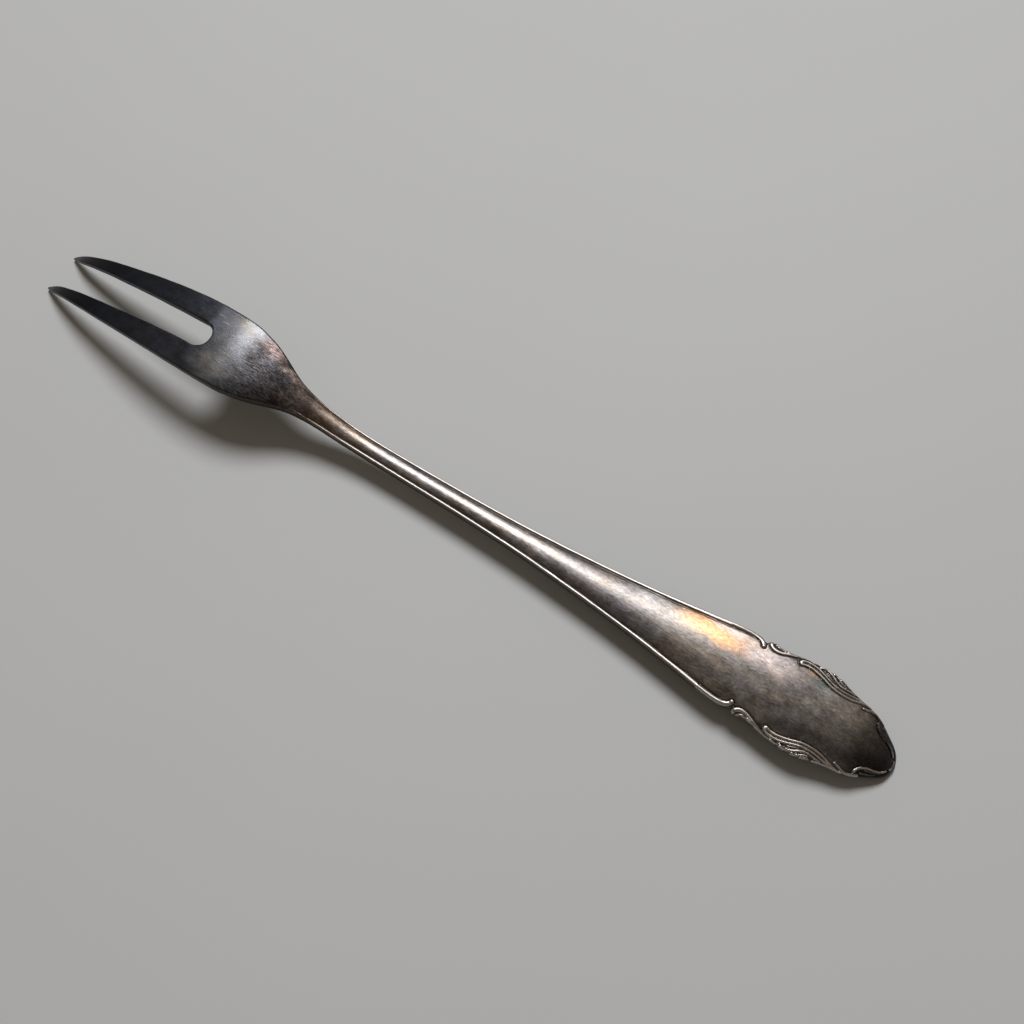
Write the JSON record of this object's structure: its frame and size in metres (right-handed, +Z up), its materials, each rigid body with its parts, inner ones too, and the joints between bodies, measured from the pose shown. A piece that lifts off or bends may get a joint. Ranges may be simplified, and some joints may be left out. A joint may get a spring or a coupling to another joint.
{
  "type": "cold meat fork",
  "caption": "Slim two-tined serving fork with bowed tines, a narrow threaded stem and a scroll-bordered handle, lying face down.",
  "frame": {"origin": "on the table, under the middle of the fork's bounding box, with the fork lying face down", "axes": "+X along the fork from the tines to the end of the handle, +Y across the handle, +Z up, out of the fork's back"},
  "size_m": [0.165, 0.0146, 0.0121],
  "materials": {
    "silver_plate": "worn silver plate, finely scratched, with brown and dark grey tarnish"
  },
  "bodies": {
    "root": {"fork": "silver_plate"}
  },
  "joints": []
}
